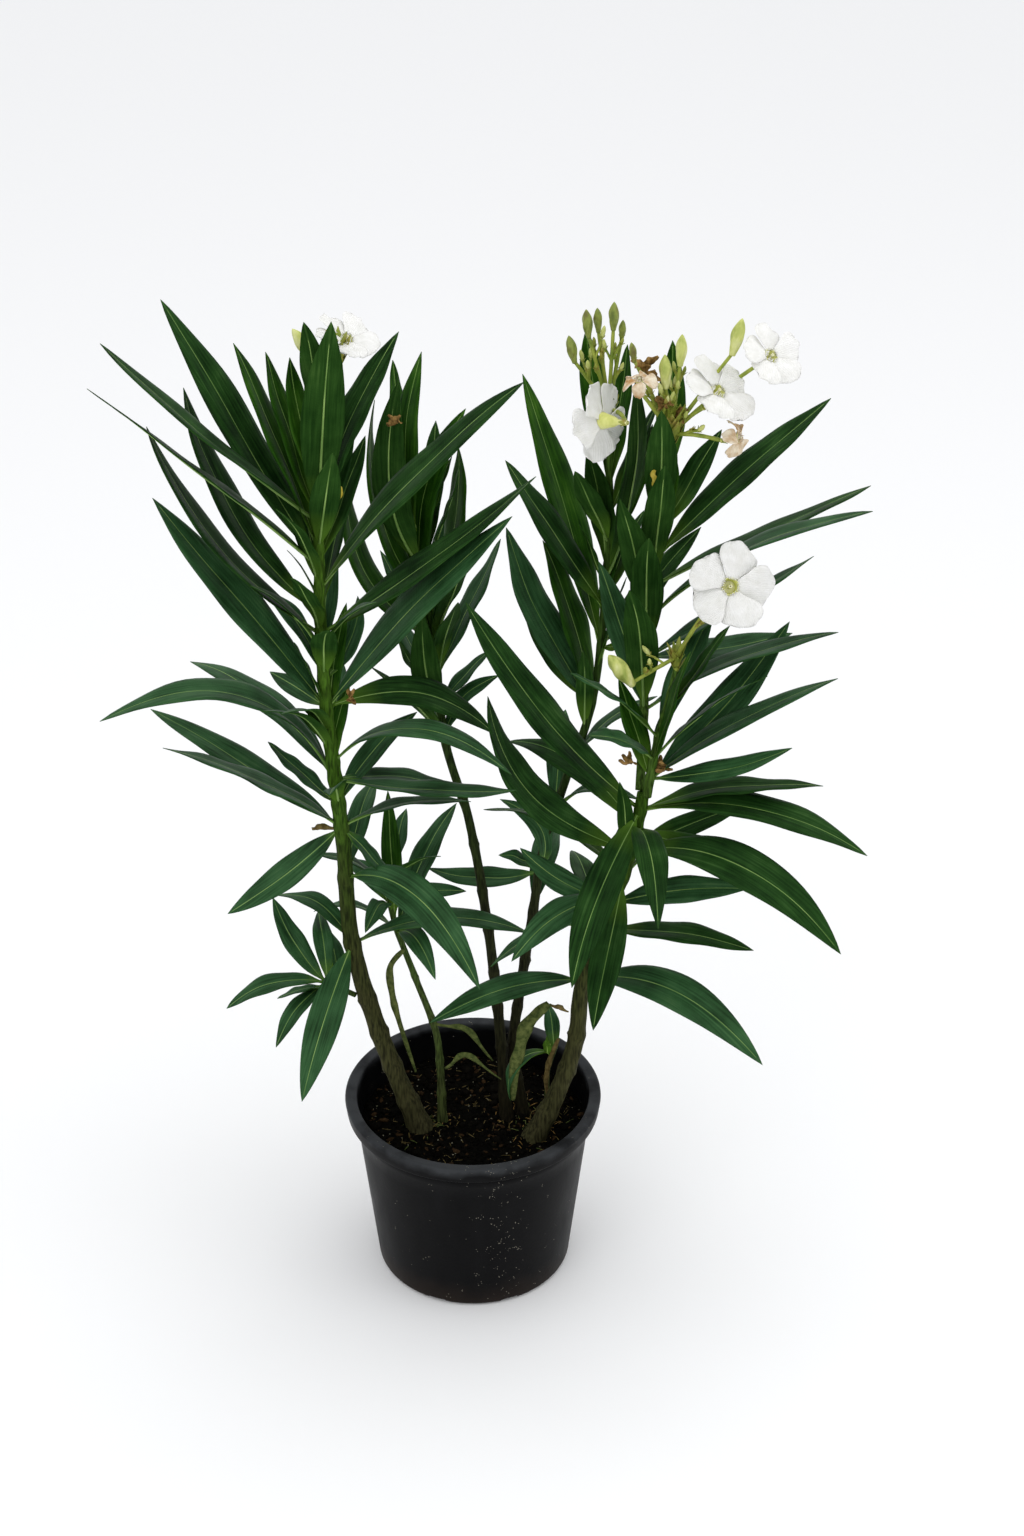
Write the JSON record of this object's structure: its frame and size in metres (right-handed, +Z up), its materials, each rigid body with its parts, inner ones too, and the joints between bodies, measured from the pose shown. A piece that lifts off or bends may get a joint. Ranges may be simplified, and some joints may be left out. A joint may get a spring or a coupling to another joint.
{
  "type": "potted oleander",
  "caption": "Young white-flowering oleander with slender canes and long leaves in whorls, in a round black nursery pot.",
  "frame": {"origin": "centre of the pot's flat underside", "axes": "+Z up, +X to the right as the plant is seen from the front, +Y away from the viewer"},
  "size_m": [0.5265, 0.2553, 0.781],
  "materials": {
    "pot": "near-black moulded plastic, a little glossy, with a greyer rim and fine pale dust",
    "soil": "dark, moist, crumbly potting compost",
    "stem": "olive-brown bark at the foot, smooth and green above",
    "leaf": "dark green, leathery, with a soft sheen and a pale midrib",
    "petal": "matt white petals with a yellow-green throat and buds"
  },
  "bodies": {
    "root": {"pot": "pot", "soil": "soil", "stem_left": "stem", "foliage_left": "leaf", "stem_inner": "stem", "foliage_inner": "leaf", "stem_middle": "stem", "foliage_middle": "leaf", "stem_centre": "stem", "foliage_centre": "leaf", "stem_right": "stem", "foliage_right": "leaf", "stem_top": "stem", "foliage_top": "leaf", "foliage_front": "leaf", "foliage_tuft": "leaf", "stem_sprout": "stem", "foliage_sprout": "leaf", "blossom_left": "petal", "blossom_centre": "petal", "blossom_top": "petal", "blossom_front": "petal"}
  },
  "joints": []
}
